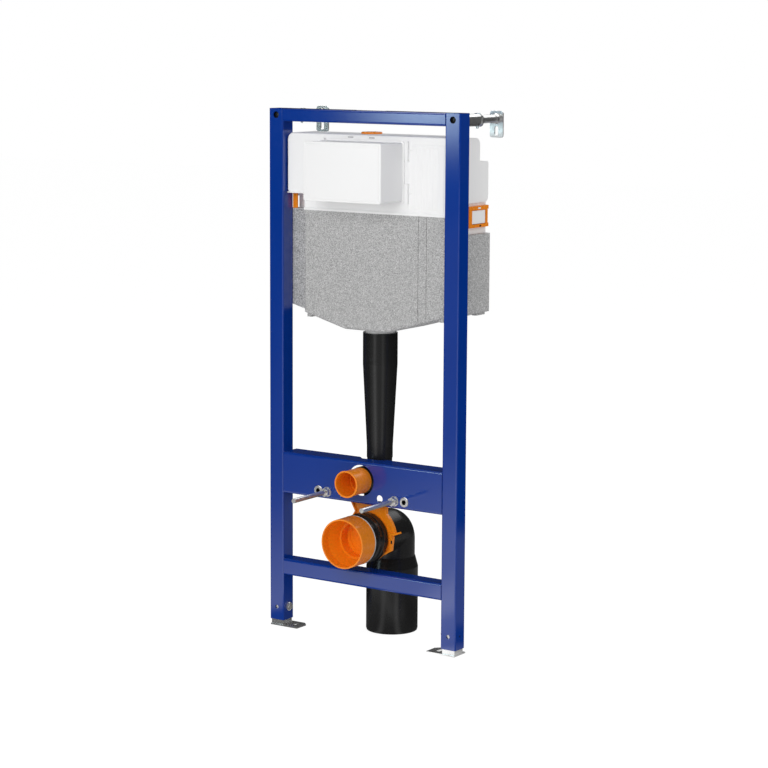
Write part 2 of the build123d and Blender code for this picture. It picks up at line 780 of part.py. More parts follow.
def make_waste_bend():
    inner = waste_diameter - 2 * waste_wall
    return elbow_solid(waste_diameter, bend_start, bend_end) - elbow_solid(inner, bend_start - 1, bend_end - 1)


def make_collar():
    """The ribbed socket in front of the bend."""
    low = collar_diameter / 2
    outline = [(collar_bore / 2, collar_front), (low, collar_front)]
    ribs = ((collar_front_rib, collar_front_rib_y, collar_front_rib_width),
            (collar_middle_rib, collar_middle_rib_y, collar_middle_rib_width),
            (collar_back_rib, collar_back_rib_y, collar_back_rib_width))
    for diameter, middle, width in ribs:
        half = width / 2
        outline += [(low, middle - half), (diameter / 2, middle - half + collar_rib_slope),
                    (diameter / 2, middle + half - collar_rib_slope), (low, middle + half)]
    outline += [(low, bend_start), (collar_bore / 2, bend_start)]
    return turned_y(outline, 0, waste_height)


def make_seal_ring():
    r = seal_diameter / 2
    return turned_y([(collar_bore / 2, seal_front), (r, seal_front), (r, collar_front),
                     (collar_bore / 2, collar_front)], 0, waste_height)


def make_waste_cap():
    """The deep cup that closes the waste socket, stepped down to its floor inside."""
    r = waste_cap_diameter / 2
    t = waste_cap_wall
    ledge = waste_cap_ledge / 2
    inner = waste_cap_inner / 2
    ring = waste_cap_ring / 2
    spigot = waste_cap_spigot / 2
    outline = [(r - t, waste_cap_front), (r, waste_cap_front), (r, seal_front), (spigot, seal_front),
               (spigot, waste_cap_spigot_back), (spigot - t, waste_cap_spigot_back),
               (spigot - t, waste_cap_ledge_y + t), (inner + t, waste_cap_ledge_y + t),
               (inner + t, waste_cap_floor + 2 * t), (0, waste_cap_floor + 2 * t),
               (0, waste_cap_floor + waste_cap_ring_depth), (ring, waste_cap_floor + waste_cap_ring_depth),
               (ring, waste_cap_floor), (inner, waste_cap_floor), (inner, waste_cap_ledge_y),
               (ledge, waste_cap_ledge_y), (r - t, waste_cap_taper_y)]
    return turned_y(outline, 0, waste_height)


def clamp_form(inset, y0, y1):
    """The saddle's plate, moved inwards by inset: its right shoulder is an arc round the bend."""
    low = [(clamp_tip_half_width, waste_height - clamp_tip_drop + inset),
           (clamp_corner_half_width - inset, waste_height - clamp_corner_drop + inset / 2)]
    right = low + [(clamp_side_half_width - inset, waste_height + clamp_side_rise),
                   (clamp_neck_right - inset, waste_height + clamp_arc / 2),
                   (clamp_neck_right - inset, beam_bottom)]
    left = [(-clamp_top_left + inset, beam_bottom), (-clamp_neck_left + inset, beam_bottom - clamp_neck_drop),
            (-clamp_side_left + inset, waste_height)] + [(-x, z) for x, z in reversed(low)]
    arc = bar_y(2 * (clamp_arc - inset), y0, y1, 0, waste_height)
    arc &= block(0, clamp_arc, y0, y1, waste_height + clamp_arc_rise + inset, beam_bottom)
    return front_prism(right + left, y0, y1) + arc


def make_clamp():
    """The saddle that hangs the waste bend from the beam: a rimmed plate with a strap round the bend."""
    bore = waste_diameter / 2 + seat_gap
    rim_front = clamp_plate_y - clamp_rim
    back = clamp_plate_y + clamp_plate
    clamp = clamp_form(0, rim_front, back) - clamp_form(clamp_rim_width, rim_front - 1, clamp_plate_y)
    clamp += bar_y(2 * (bore + clamp_strap), clamp_plate_y - clamp_strap_step, back, 0, waste_height)
    lug = Rot(0, -clamp_lug_tilt, 0) * Box(clamp_lug_length, back - rim_front, clamp_lug_thickness)
    clamp += Pos(clamp_lug_x, (rim_front + back) / 2, waste_height + clamp_lug_rise) * lug
    for side in (-1, 1):
        slot = Box(clamp_slot_width, 2 * back, clamp_slot_height)
        clamp -= Pos(side * clamp_slot_x, 0, waste_height - clamp_slot_drop) * slot
    clamp -= bar_y(2 * bore, bend_start + seat_gap, 2 * back, 0, waste_height)
    return clamp - bar_y(collar_back_rib + 2 * seat_gap, 0, bend_start + seat_gap, 0, waste_height)


def make_reducer():
    """The widening sleeve under the bend whose mouth takes the drain pipe."""
    seat = waste_diameter / 2 + outlet_fit
    low = reducer_diameter / 2
    bore = drain_bore / 2
    stop = bend_end - waste_wall
    drain_stop = bend_end - drain_stop_drop
    outline = [(seat, reducer_top), (seat + reducer_lip / 2, reducer_top), (low, reducer_top - reducer_flare),
               (low, reducer_bottom + reducer_lip_height), (low - reducer_lip, reducer_bottom),
               (bore, reducer_bottom), (bore, drain_stop), (seat - waste_wall, drain_stop),
               (seat - waste_wall, stop), (seat, stop)]
    return turned_z(outline, 0, waste_y)


def save(node, shape):
    export_step(to_origin * shape, f"parts/{node}.step")


os.makedirs("parts", exist_ok=True)
for name, side in (("left", -1), ("right", 1)):
    save(f"{name}_post", make_post(side))
    save(f"{name}_foot", make_foot(side))
    save(f"{name}_foot_bolt", make_foot_bolt(side))
    save(f"{name}_wall_plate", make_wall_plate(side))
    save(f"{name}_wall_rod", make_wall_rod(side))
    save(f"{name}_rod_sleeve", make_rod_sleeve(side))
    save(f"{name}_stud", make_stud(side))
    save(f"{name}_stud_nut", make_stud_nut(side))
    save(f"{name}_stud_washer", make_stud_washer(side))
    save(f"{name}_weld_nut", make_weld_nut(side))
    save(f"{name}_outer_socket", make_outer_socket(side))
    save(f"{name}_shroud_clips", make_clips(side))
    save(f"{name}_inlet_frame", make_side_frame(side))
save("top_rail", make_top_rail())
save("bowl_beam", make_beam())
save("lower_rail", make_lower_rail())
save("cistern_tank", make_tank())
save("tank_outlet", make_tank_outlet())
save("jacket_front", make_jacket_front())
save("jacket_back", make_jacket_back())
save("access_shroud", make_shroud())
save("access_cover", make_cover())
save("inlet_plug", make_inlet_plug())
save("flush_pipe", make_flush_pipe())
save("flush_bend", make_flush_bend())
save("flush_cap", make_flush_cap())
save("waste_bend", make_waste_bend())
save("waste_collar", make_collar())
save("seal_ring", make_seal_ring())
save("waste_cap", make_waste_cap())
save("waste_clamp", make_clamp())
save("drain_reducer", make_reducer())
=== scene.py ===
import json
import math

import bmesh
import bpy
from mathutils import Matrix, Vector


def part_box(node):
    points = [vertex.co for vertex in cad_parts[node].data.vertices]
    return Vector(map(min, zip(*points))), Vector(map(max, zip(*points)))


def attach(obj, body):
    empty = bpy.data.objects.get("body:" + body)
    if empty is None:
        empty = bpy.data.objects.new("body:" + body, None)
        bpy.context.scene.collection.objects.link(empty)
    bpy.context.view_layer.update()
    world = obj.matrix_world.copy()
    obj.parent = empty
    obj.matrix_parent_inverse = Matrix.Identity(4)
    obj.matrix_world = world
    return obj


# Wall hung toilet frame: finishes, fine pieces, camera and light.
# Lengths are metres in the part's own frame: the origin is the middle of the left foot,
# +X runs to the right post, +Y to the wall and +Z up. The fine pieces are worked out in
# millimetres, from the boxes of the CAD nodes that they sit on.
MM = 1000.0

# Camera, solved from the photograph
VIEW_TARGET = Vector((0.29149, -0.019, 0.5825))
VIEW_DISTANCE = 5.03162
VIEW_AZIMUTH = math.radians(34.1415)
VIEW_PITCH = math.radians(8.6998)
VIEW_ROLL = 0.00541
FOCAL_PIXELS = 2316.3
IMAGE_PIXELS = 768
SENSOR = 36.0

# Where most of a noise texture's values lie
NOISE_LOW = 0.3
NOISE_HIGH = 0.7

# Cells per metre of the foam's beads and of the zinc spangle
BEADS = 430.0
SPANGLE = 120.0

# Lamps that only light: place, width, height and power
LAMP_AIM = (0.23, 0.0, 0.6)
LAMPS = {
    "key": ((0.9, -3.7, 2.15), 2.4, 2.0, 73.5),
    "side": ((3.4, 1.5, 3.0), 1.6, 1.6, 29.0),
    "back": ((0.0, 4.0, 1.6), 2.4, 2.0, 30.0),
}

# Floor: its size, its share of plain white and its strength for camera and diffuse rays
FLOOR_HALF = 14.0
FLOOR_LEVEL = -0.0005
FLOOR_WHITE = 0.8
FLOOR_WHITE_STRENGTH = 1.15
FLOOR_FILL = 0.75
# Floor in reflections: (X, tone) in front of the frame, and the tone behind it
FRONT_TONES = ((-7.5, 0.04), (-5.5, 0.15), (-1.2, 0.17), (-0.95, 0.19), (-0.75, 0.30), (-0.59, 0.45),
               (-0.43, 0.60), (-0.15, 0.84), (0.3, 0.86), (0.8, 0.30))
REAR_TONE = 0.20
REAR_FADE = (1.42, 1.62)
BEHIND_FRAME = (0.25, 0.4)
# Direction in which the posts' fronts reflect, as steps in X and Y
AWAY_X = 0.56
AWAY_Y = 0.83
# Dark patch round the drain, and the trail that the right post's reflection leaves in it
PATCH_TONE = 0.10
PATCH_FADE = (0.36, 0.46)
TRAIL_AZIMUTH = math.radians(32.48)
TRAIL_FADE = (0.035, 0.07)
# Dim left side, beyond a line with this slope
LEFT_SLOPE = 0.7
LEFT_FADE = (-0.2, -0.1)
# Two bright bands that draw the sheen on the drain, by their angle round it
SHEEN_ANGLES = (-0.058, 0.916)
SHEEN_FADE = (0.04, 0.22)
SHEEN_TONE = 0.62

# Softbox at the front left: its plane, its fades and its glow
SOFTBOX_Y = -3.9
SOFTBOX_X = (-2.8, -1.25)
SOFTBOX_Z = (0.6, 2.5)
SOFTBOX_LEFT_FADE = (-2.62, -2.12)
SOFTBOX_RIGHT_FADE = (-1.72, -2.1)
SOFTBOX_LOW_FADE = (0.81, 1.02)
SOFTBOX_STRENGTH = 6.2
SOFTBOX_COLOUR = (0.75, 0.95, 1.0, 1.0)

# Overhead card: its plane, its fade and its glow
CARD_Z = 3.1
CARD_X = (-1.5, 2.6)
CARD_Y = (-2.6, 4.2)
CARD_FADE = (-1.5, -0.9)
CARD_STRENGTH = 2.1

# Room: its strength for diffuse, glossy and camera rays
ROOM_DIFFUSE = 0.45
ROOM_GLOSSY = 0.03
ROOM_CAMERA = 1.0

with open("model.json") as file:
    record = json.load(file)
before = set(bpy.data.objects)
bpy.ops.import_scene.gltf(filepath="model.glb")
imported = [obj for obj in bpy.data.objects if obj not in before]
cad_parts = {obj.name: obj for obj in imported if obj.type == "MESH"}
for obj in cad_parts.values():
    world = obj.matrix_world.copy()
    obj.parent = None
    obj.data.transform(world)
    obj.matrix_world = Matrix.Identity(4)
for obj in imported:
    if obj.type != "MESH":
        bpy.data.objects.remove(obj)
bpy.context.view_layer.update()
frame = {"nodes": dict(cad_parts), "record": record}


# Boxes of the nodes
class Box:
    """The box of a CAD node in millimetres, with its middle."""

    def __init__(self, node):
        low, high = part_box(node)
        self.x0, self.y0, self.z0 = low * MM
        self.x1, self.y1, self.z1 = high * MM
        self.x, self.y, self.z = (low + high) / 2 * MM


posts = {"left": Box("left_post"), "right": Box("right_post")}
centre_x = (posts["left"].x0 + posts["right"].x1) / 2
tank = Box("cistern_tank")
jacket = Box("jacket_front")
drain = Box("drain_reducer")


# Node helpers for the materials
def grey(tone):
    return tone, tone, tone


class Shader:
    """A new Principled material with short calls for the nodes that it needs."""

    def __init__(self, name, **sockets):
        self.material = bpy.data.materials.new(name)
        self.material.use_nodes = True
        self.tree = self.material.node_tree
        self.principled = self.tree.nodes["Principled BSDF"]
        for key, value in sockets.items():
            self.principled.inputs[key.replace("_", " ")].default_value = value
        self.place = self.add("ShaderNodeTexCoord").outputs["Object"]

    def add(self, kind, **values):
        node = self.tree.nodes.new(kind)
        for key, value in values.items():
            setattr(node, key, value)
        return node

    def link(self, source, target):
        self.tree.links.new(source, target)

    def put(self, value, socket):
        """Link an output to a socket, or set a plain value on it."""
        if isinstance(value, bpy.types.NodeSocket):
            self.link(value, socket)
        else:
            socket.default_value = value

    def axes(self):
        parts = self.add("ShaderNodeSeparateXYZ")
        self.link(self.place, parts.inputs["Vector"])
        return parts.outputs["X"], parts.outputs["Y"], parts.outputs["Z"]

    def noise(self, scale, detail=3.0):
        node = self.add("ShaderNodeTexNoise")
        node.inputs["Scale"].default_value = scale
        node.inputs["Detail"].default_value = detail
        self.link(self.place, node.inputs["Vector"])
        return node.outputs["Fac"]

    def cells(self, scale, feature="F1"):
        node = self.add("ShaderNodeTexVoronoi", feature=feature)
        node.inputs["Scale"].default_value = scale
        self.link(self.place, node.inputs["Vector"])
        return node

    def domes(self, scale):
        """The rounded distance from each cell's middle."""
        return self.cells(scale, "SMOOTH_F1").outputs["Distance"]

    def grains(self, scale):
        """One grey value from 0 to 1 for each cell."""
        parts = self.add("ShaderNodeSeparateColor")
        self.link(self.cells(scale).outputs["Color"], parts.inputs["Color"])
        return parts.outputs["Red"]

    def maths(self, operation, first, second=0.0):
        node = self.add("ShaderNodeMath", operation=operation)
        self.put(first, node.inputs[0])
        self.put(second, node.inputs[1])
        return node.outputs["Value"]

    def distance(self, first, second):
        """The length of a vector with these two parts."""
        squares = [self.maths("MULTIPLY", part, part) for part in (first, second)]
        return self.maths("SQRT", self.maths("ADD", *squares))

    def span(self, value, low, high, to_low, to_high, smooth=False):
        """Map a value from one range to another."""
        node = self.add("ShaderNodeMapRange", interpolation_type="SMOOTHSTEP" if smooth else "LINEAR")
        for key, number in (("From Min", low), ("From Max", high), ("To Min", to_low), ("To Max", to_high)):
            node.inputs[key].default_value = number
        self.link(value, node.inputs["Value"])
        return node.outputs["Result"]

    def rise(self, value, fade, low=0.0, high=1.0):
        """Go softly from low to high across a fade, a pair of values."""
        return self.span(value, *fade, low, high, True)

    def ramp(self, value, *stops):
        node = self.add("ShaderNodeValToRGB")
        band = node.color_ramp
        while len(band.elements) < len(stops):
            band.elements.new(0.5)
        for element, (position, colour) in zip(band.elements, stops):
            element.position = position
            element.color = (*colour, 1.0)
        self.link(value, node.inputs["Fac"])
        return node.outputs["Color"]

    def mottle(self, scale, dark, light, detail=3.0):
        """A colour that drifts between two tones."""
        return self.ramp(self.noise(scale, detail), (NOISE_LOW, dark), (NOISE_HIGH, light))

    def drift(self, scale, low, high, detail=3.0):
        """A value that drifts between two levels."""
        return self.span(self.noise(scale, detail), NOISE_LOW, NOISE_HIGH, low, high)

    def blend(self, factor, first, second, kind="MIX"):
        node = self.add("ShaderNodeMix", data_type="RGBA", blend_type=kind)
        self.put(factor, node.inputs[0])
        self.put(first, node.inputs[6])
        self.put(second, node.inputs[7])
        return node.outputs[2]

    def choose(self, factor, first, second):
        """Go from one value to another with a factor."""
        node = self.add("ShaderNodeMix", data_type="FLOAT")
        self.put(factor, node.inputs[0])
        self.put(first, node.inputs[2])
        self.put(second, node.inputs[3])
        return node.outputs[0]

    def glow(self, strength, colour=(1.0, 1.0, 1.0, 1.0)):
        node = self.add("ShaderNodeEmission")
        node.inputs["Color"].default_value = colour
        self.put(strength, node.inputs["Strength"])
        return node.outputs["Emission"]

    def join(self, factor, first, second):
        """Mix two shaders."""
        node = self.add("ShaderNodeMixShader")
        self.put(factor, node.inputs["Fac"])
        self.link(first, node.inputs[1])
        self.link(second, node.inputs[2])
        return node.outputs["Shader"]

    def bump(self, height, distance, strength=1.0):
        node = self.add("ShaderNodeBump")
        node.inputs["Distance"].default_value = distance
        node.inputs["Strength"].default_value = strength
        self.link(height, node.inputs["Height"])
        self.link(node.outputs["Normal"], self.principled.inputs["Normal"])

    def feed(self, socket, value):
        self.link(value, self.principled.inputs[socket])


# Finishes
def powder_coat():
    """Smooth gloss blue: one sharp reflection over a deep colour."""
    s = Shader("blue_powder_coat", Specular_IOR_Level=1.0)
    s.feed("Base Color", s.mottle(7.0, (0.0004, 0.0325, 0.262), (0.0008, 0.0355, 0.278)))
    s.feed("Roughness", s.drift(60.0, 0.095, 0.11))
    s.bump(s.noise(900.0, 1.0), 0.00001)
    return s.material


def bead_foam():
    """Moulded bead foam with a fine salt and pepper grain."""
    s = Shader("bead_foam", Specular_IOR_Level=0.15)
    fine = s.noise(700.0, 1.0)
    grain = s.ramp(fine, (0.34, grey(0.26)), (0.5, grey(0.415)), (0.66, grey(0.63)))
    beads = s.ramp(s.grains(BEADS), (0.0, grey(0.33)), (1.0, grey(0.68)))
    s.feed("Base Color", s.blend(0.7, grain, beads, "OVERLAY"))
    s.feed("Roughness", s.span(fine, NOISE_LOW, NOISE_HIGH, 0.75, 0.9))
    s.bump(s.domes(BEADS), 0.0004, 0.5)
    return s.material


def white_plastic():
    s = Shader("white_plastic", Specular_IOR_Level=0.3)
    s.feed("Base Color", s.mottle(6.0, (0.89, 0.89, 0.892), grey(0.91)))
    s.feed("Roughness", s.drift(50.0, 0.40, 0.5, detail=4.0))
    s.bump(s.noise(500.0, 2.0), 0.00002)
    return s.material


def orange_plastic():
    s = Shader("orange_plastic", Specular_IOR_Level=0.5)
    s.feed("Base Color", s.mottle(14.0, (0.88, 0.245, 0.008), (0.93, 0.270, 0.010)))
    s.feed("Roughness", s.drift(90.0, 0.24, 0.30))
    s.bump(s.noise(600.0, 2.0), 0.00001)
    return s.material


def black_plastic():
    s = Shader("black_plastic", Specular_IOR_Level=0.45)
    s.feed("Base Color", s.mottle(12.0, grey(0.011), grey(0.013)))
    s.feed("Roughness", s.drift(70.0, 0.22, 0.28))
    s.bump(s.noise(420.0, 2.0), 0.00001)
    return s.material


def galvanised():
    """Satin galvanised sheet with a faint spangle."""
    s = Shader("galvanised_steel", Metallic=0.9)
    sheet = s.mottle(30.0, grey(0.74), (0.84, 0.84, 0.83), detail=4.0)
    spangle = s.ramp(s.grains(SPANGLE), (0.0, grey(0.44)), (1.0, grey(0.56)))
    s.feed("Base Color", s.blend(0.3, sheet, spangle, "OVERLAY"))
    s.feed("Roughness", s.drift(120.0, 0.20, 0.27))
    s.bump(s.noise(300.0), 0.000004, 0.6)
    return s.material


def zinc():
    """Satin zinc, with painted shade: dark inside the bores of the outer sockets."""
    s = Shader("zinc_plate", Metallic=0.85)
    plate = s.mottle(80.0, (0.76, 0.76, 0.75), (0.82, 0.81, 0.79))
    socket = Box("right_outer_socket")
    x, y, z = s.axes()
    from_centre = s.maths("ABSOLUTE", s.maths("SUBTRACT", x, centre_x / MM))
    from_axis = s.distance(s.maths("SUBTRACT", from_centre, (socket.x - centre_x) / MM),
                           s.maths("SUBTRACT", z, socket.z / MM))
    # Painted shade: behind their front face the outer sockets' bores are coloured near black, standing in for
    # the shade inside them.
    bore = s.span(from_axis, 0.00555, 0.0058, 1.0, 0.0)
    behind_face = s.span(y, (socket.y0 + 0.2) / MM, (socket.y0 + 1.0) / MM, 0.0, 1.0)
    bore_painted_shade = (*grey(0.02), 1.0)
    s.feed("Base Color", s.blend(s.maths("MULTIPLY", bore, behind_face), plate, bore_painted_shade))
    s.feed("Roughness", s.drift(200.0, 0.29, 0.32))
    s.bump(s.noise(900.0, 2.0), 0.000003)
    return s.material


def seal_rubber():
    s = Shader("seal_rubber", Specular_IOR_Level=0.6)
    s.feed("Base Color", s.mottle(60.0, (0.48, 0.48, 0.49), (0.58, 0.58, 0.59)))
    s.feed("Roughness", s.drift(120.0, 0.25, 0.35))
    s.bump(s.noise(500.0), 0.00002)
    return s.material


finishes = {
    "blue_steel": powder_coat(), "foam": bead_foam(), "white_plastic": white_plastic(),
    "orange_plastic": orange_plastic(), "black_plastic": black_plastic(), "galvanised": galvanised(),
    "zinc": zinc(), "seal": seal_rubber(),
}
for entry in frame["record"]["subparts"]:
    mesh = frame["nodes"][entry["node"]].data
    mesh.materials.clear()
    mesh.materials.append(finishes[entry["material_slot"]])


# Makers of fine pieces
def add_piece(name, bm, slot, body="frame"):
    """Turn a bmesh into a smooth-shaded piece that rides on a body."""
    bmesh.ops.recalc_face_normals(bm, faces=bm.faces)
    mesh = bpy.data.meshes.new(name)
    bm.to_mesh(mesh)
    bm.free()
    mesh.materials.append(finishes[slot])
    for face in mesh.polygons:
        face.use_smooth = True
    mesh.set_sharp_from_angle(angle=math.radians(35))
    thing = bpy.data.objects.new(name, mesh)
    bpy.context.scene.collection.objects.link(thing)
    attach(thing, body)


def rounded_block(name, low, high, radius, slot):
    """A box with all its edges rounded, between two corners."""
    bm = bmesh.new()
    bmesh.ops.create_cube(bm, size=1.0)
    for vertex in bm.verts:
        vertex.co = Vector([((a + b) / 2 + c * (b - a)) / MM for a, b, c in zip(low, high, vertex.co)])
    bmesh.ops.bevel(bm, geom=bm.edges[:], offset=radius / MM, segments=3, profile=0.5, affect="EDGES")
    add_piece(name, bm, slot)


def turned(name, outline, centre, axis, slot, body="frame", steps=40):
    """A ring turned about an axis through centre, from a closed (radius, height) outline."""
    bm = bmesh.new()
    turn = Vector((0, 0, 1)).rotation_difference(Vector(axis))
    rows = []
    for k in range(steps):
        angle = 2 * math.pi * k / steps
        spokes = [turn @ Vector((r * math.cos(angle), r * math.sin(angle), h)) for r, h in outline]
        rows.append([bm.verts.new((Vector(centre) + spoke) / MM) for spoke in spokes])
    for k in range(steps):
        for j in range(len(outline)):
            i = (j + 1) % len(outline)
            bm.faces.new((rows[k][j], rows[k][i], rows[k - 1][i], rows[k - 1][j]))
    add_piece(name, bm, slot, body)


def loop_bead(name, x0, x1, z0, z1, y, corner, thick, slot):
    """A round bead along a rectangle with round corners that stands in a plane of constant Y."""
    corner_steps = 6
    sides = 10
    path = []
    for cx, cz, quarter in ((x1 - corner, z1 - corner, 0), (x0 + corner, z1 - corner, 1),
                            (x0 + corner, z0 + corner, 2), (x1 - corner, z0 + corner, 3)):
        for k in range(corner_steps + 1):
            angle = math.pi / 2 * (quarter + k / corner_steps)
            path.append((cx + corner * math.cos(angle), cz + corner * math.sin(angle), angle))
    bm = bmesh.new()
    rows = []
    for x, z, angle in path:
        row = []
        for k in range(sides):
            turn = 2 * math.pi * k / sides
            reach = thick * math.cos(turn)
            place = (x + reach * math.cos(angle), y + thick * math.sin(turn), z + reach * math.sin(angle))
            row.append(bm.verts.new(Vector(place) / MM))
        rows.append(row)
    for k in range(len(rows)):
        for j in range(sides):
            bm.faces.new((rows[k][j], rows[k][j - 1], rows[k - 1][j - 1], rows[k - 1][j]))
    add_piece(name, bm, slot)


# Fine pieces
def tank_panels():
    """Base plate behind the shroud, and beside it a panel with five upright ribs."""
    shroud = Box("access_shroud")
    edge_drop = 17.0
    face = tank.y0 - 1.0
    back = tank.y0 + 1.0
    bottom = shroud.z0 - edge_drop
    top = tank.z1 - edge_drop
    plate_round = 0.7
    rounded_block("tank_base_panel", (shroud.x0 - 26.0, face, bottom), (shroud.x1 + 8.0, back, top),
                  plate_round, "white_plastic")
    panel_left = shroud.x1 + 14.0
    panel_right = posts["right"].x0 - 9.0
    rounded_block("tank_side_panel", (panel_left, face, bottom), (panel_right, back, top),
                  plate_round, "white_plastic")
    first_rib = panel_left + 11.0
    rib_pitch = 14.0
    rib_half = 4.6
    rib_face = face - 0.8
    rib_end_gap = 6.0
    for k in range(5):
        x = first_rib + k * rib_pitch
        rounded_block(f"tank_rib_{k + 1}", (x - rib_half, rib_face, bottom + rib_end_gap),
                      (x + rib_half, back, top - rib_end_gap), 1.5, "white_plastic")


def tank_lips():
    """Lip over the jacket, up to the cut-back corner at the left, and a lip under that corner."""
    back = tank.y0 + 1.0
    edge_gap = 4.0
    cut_back = posts["left"].x1 + 49.0
    rounded_block("tank_lip", (cut_back, tank.y0 - 2.4, jacket.z1 - 0.9),
                  (posts["right"].x0 - edge_gap, back, jacket.z1 + 4.9), 1.5, "white_plastic")
    shoulder = 986.0
    rounded_block("tank_corner_lip", (posts["left"].x1 + edge_gap, tank.y0 - 1.6, shoulder - 0.4),
                  (cut_back - 2.0, back, shoulder + 2.6), 1.0, "white_plastic")


def lid_catches():
    """Two catches on the tank's top edge, by the inlet plug, in a grey that also paints the shade of the
    notches that the tank's mesh doesn't cut.
    """
    half = 7.0
    for k, from_centre in enumerate((-38.0, 17.5)):
        x = centre_x + from_centre
        # Painted shade: the grey seal finish on these catches stands in for the shade of the notches at the
        # tank's top edge.
        rounded_block(f"lid_catch_{k + 1}", (x - half, tank.y0 - 1.4, tank.z1 - 7.5),
                      (x + half, tank.y0 + 3.0, tank.z1 - 4.4), 0.8, "seal")


def clip_tabs():
    """A tab near each end of the right shroud clips."""
    clips = Box("right_shroud_clips")
    half = 0.9
    for name, z in (("clip_tab_1089", clips.z1 - 19.5), ("clip_tab_997", clips.z0 + 22.5)):
        rounded_block(name, (clips.x1 - 2.0, tank.y0 - 2.6, z - half), (clips.x1 + 8.0, tank.y0, z + half),
                      0.5, "white_plastic")


def cover_face():
    """A raised field, which leaves a narrow step round the cover's edge, and a bead inside it."""
    cover = Box("access_cover")
    step = 4.4
    rounded_block("cover_field", (cover.x0 + step, cover.y0 - 0.9, cover.z0 + step),
                  (cover.x1 - step, cover.y0 + 1.0, cover.z1 - step), 0.85, "white_plastic")
    inset = 9.0
    loop_bead("cover_bead", cover.x0 + inset, cover.x1 - inset, cover.z0 + inset, cover.z1 - inset,
              cover.y0 - 0.8, 3.0, 0.35, "white_plastic")


def foot_bolt_face(name, inwards):
    """A raised rim round the washer and a dish in the head, measured from the post's inner side."""
    bolt = Box(f"{name}_foot_bolt")
    inner_side = posts[name].x1 if inwards > 0 else posts[name].x0
    centre = (inner_side, bolt.y, bolt.z)
    rim = [(7.4, 0.8), (9.4, 0.8), (9.8, 1.6), (9.8, 3.4), (9.2, 4.0), (8.6, 3.4), (8.2, 2.0), (7.4, 1.8)]
    turned(f"{name}_bolt_rim", rim, centre, (inwards, 0, 0), "zinc")
    dish = [(0.4, 6.9), (2.6, 6.9), (3.2, 7.4), (3.6, 7.4), (3.6, 6.0), (0.4, 6.0)]
    turned(f"{name}_bolt_dish", dish, centre, (inwards, 0, 0), "zinc", steps=32)


def inlet_latch(name, inwards):
    """The latch on the upper bar of a side inlet frame and the stop on the lower one."""
    surround = Box(f"{name}_inlet_frame")
    outer_side = surround.x0 if inwards > 0 else surround.x1
    x0, x1 = sorted((outer_side + inwards * 1.0, outer_side - inwards * 0.7))
    rounded_block(f"{name}_inlet_latch", (x0, surround.y1 - 43.0, surround.z1 - 6.7),
                  (x1, surround.y1 - 33.0, surround.z1 - 2.9), 0.5, "white_plastic")
    rounded_block(f"{name}_inlet_stop", (x0, surround.y1 - 37.0, surround.z0 + 1.4),
                  (x1, surround.y1 - 31.0, surround.z0 + 5.0), 0.5, "black_plastic")


def rod_cap(name):
    """Black cap on the end of a bracket's bar, seen through the access hole."""
    rod = Box(f"{name}_wall_rod")
    cap = [(0.05, -2.6), (7.4, -2.6), (8.6, -1.8), (8.9, -0.6), (8.9, 0.6), (0.05, 0.6)]
    turned(f"{name}_rod_cap", cap, (rod.x, rod.y0, rod.z), (0, 1, 0), "black_plastic", f"{name}_wall_bracket")


def supply_guide():
    """Orange guide for the supply pipe under the tank's left corner."""
    post = posts["left"]
    rounded_block("supply_guide", (post.x1 + 0.5, post.y1 - 2.0, jacket.z1 - 0.2),
                  (post.x1 + 13.0, post.y1 + 1.5, 990.0), 0.8, "orange_plastic")


def waste_details():
    """The lip of the seal behind the waste cap's rim, and a black block that paints the shade of the slot in
    the clamp's right rim.
    """
    seal = Box("seal_ring")
    lip = [(54.0, -0.8), (55.0, -0.8), (55.4, -0.4), (55.4, 0.4), (55.0, 0.8), (54.0, 0.8)]
    turned("seal_lip", lip, (centre_x, seal.y1 + 0.8, seal.z), (0, 1, 0), "seal", steps=96)
    clamp = Box("waste_clamp")
    # Painted shade: this black block on the clamp's right rim stands in for the shade inside its slot.
    rounded_block("clamp_slot_shade", (centre_x + 62.2, clamp.y0 - 0.6, seal.z - 9.0),
                  (centre_x + 65.6, clamp.y0 + 1.0, seal.z - 1.0), 0.4, "black_plastic")


def sleeve_eye(name):
    """The clamp screw's eye, low on the end flange of a bracket's sleeve."""
    sleeve = Box(f"{name}_rod_sleeve")
    eye = [(1.6, -1.2), (3.4, -1.2), (3.9, 0.0), (3.4, 1.2), (1.6, 1.2)]
    turned(f"{name}_sleeve_eye", eye, (sleeve.x, sleeve.y1 - 5.4, sleeve.z0 - 0.5), (0, 1, 0), "galvanised",
           steps=28)


INWARDS = {"left": 1, "right": -1}
tank_panels()
tank_lips()
lid_catches()
clip_tabs()
cover_face()
for side, inwards in INWARDS.items():
    foot_bolt_face(side, inwards)
for side, inwards in INWARDS.items():
    inlet_latch(side, inwards)
for side in INWARDS:
    rod_cap(side)
supply_guide()
waste_details()
for side in INWARDS:
    sleeve_eye(side)


# Camera
def place_camera():
    flat = math.cos(VIEW_PITCH)
    forward = Vector((-math.sin(VIEW_AZIMUTH) * flat, math.cos(VIEW_AZIMUTH) * flat, -math.sin(VIEW_PITCH)))
    level = Vector((math.cos(VIEW_AZIMUTH), math.sin(VIEW_AZIMUTH), 0.0))
    upright = level.cross(forward)
    right = level * math.cos(VIEW_ROLL) + upright * math.sin(VIEW_ROLL)
    up = upright * math.cos(VIEW_ROLL) - level * math.sin(VIEW_ROLL)
    camera = bpy.data.objects.new("camera", bpy.data.cameras.new("camera"))
    camera.data.sensor_width = SENSOR
    camera.data.lens = FOCAL_PIXELS / IMAGE_PIXELS * SENSOR
    turn = Matrix((right, up, -forward)).transposed().to_4x4()
    camera.matrix_world = Matrix.Translation(VIEW_TARGET - forward * VIEW_DISTANCE) @ turn
    bpy.context.scene.collection.objects.link(camera)
    bpy.context.scene.camera = camera


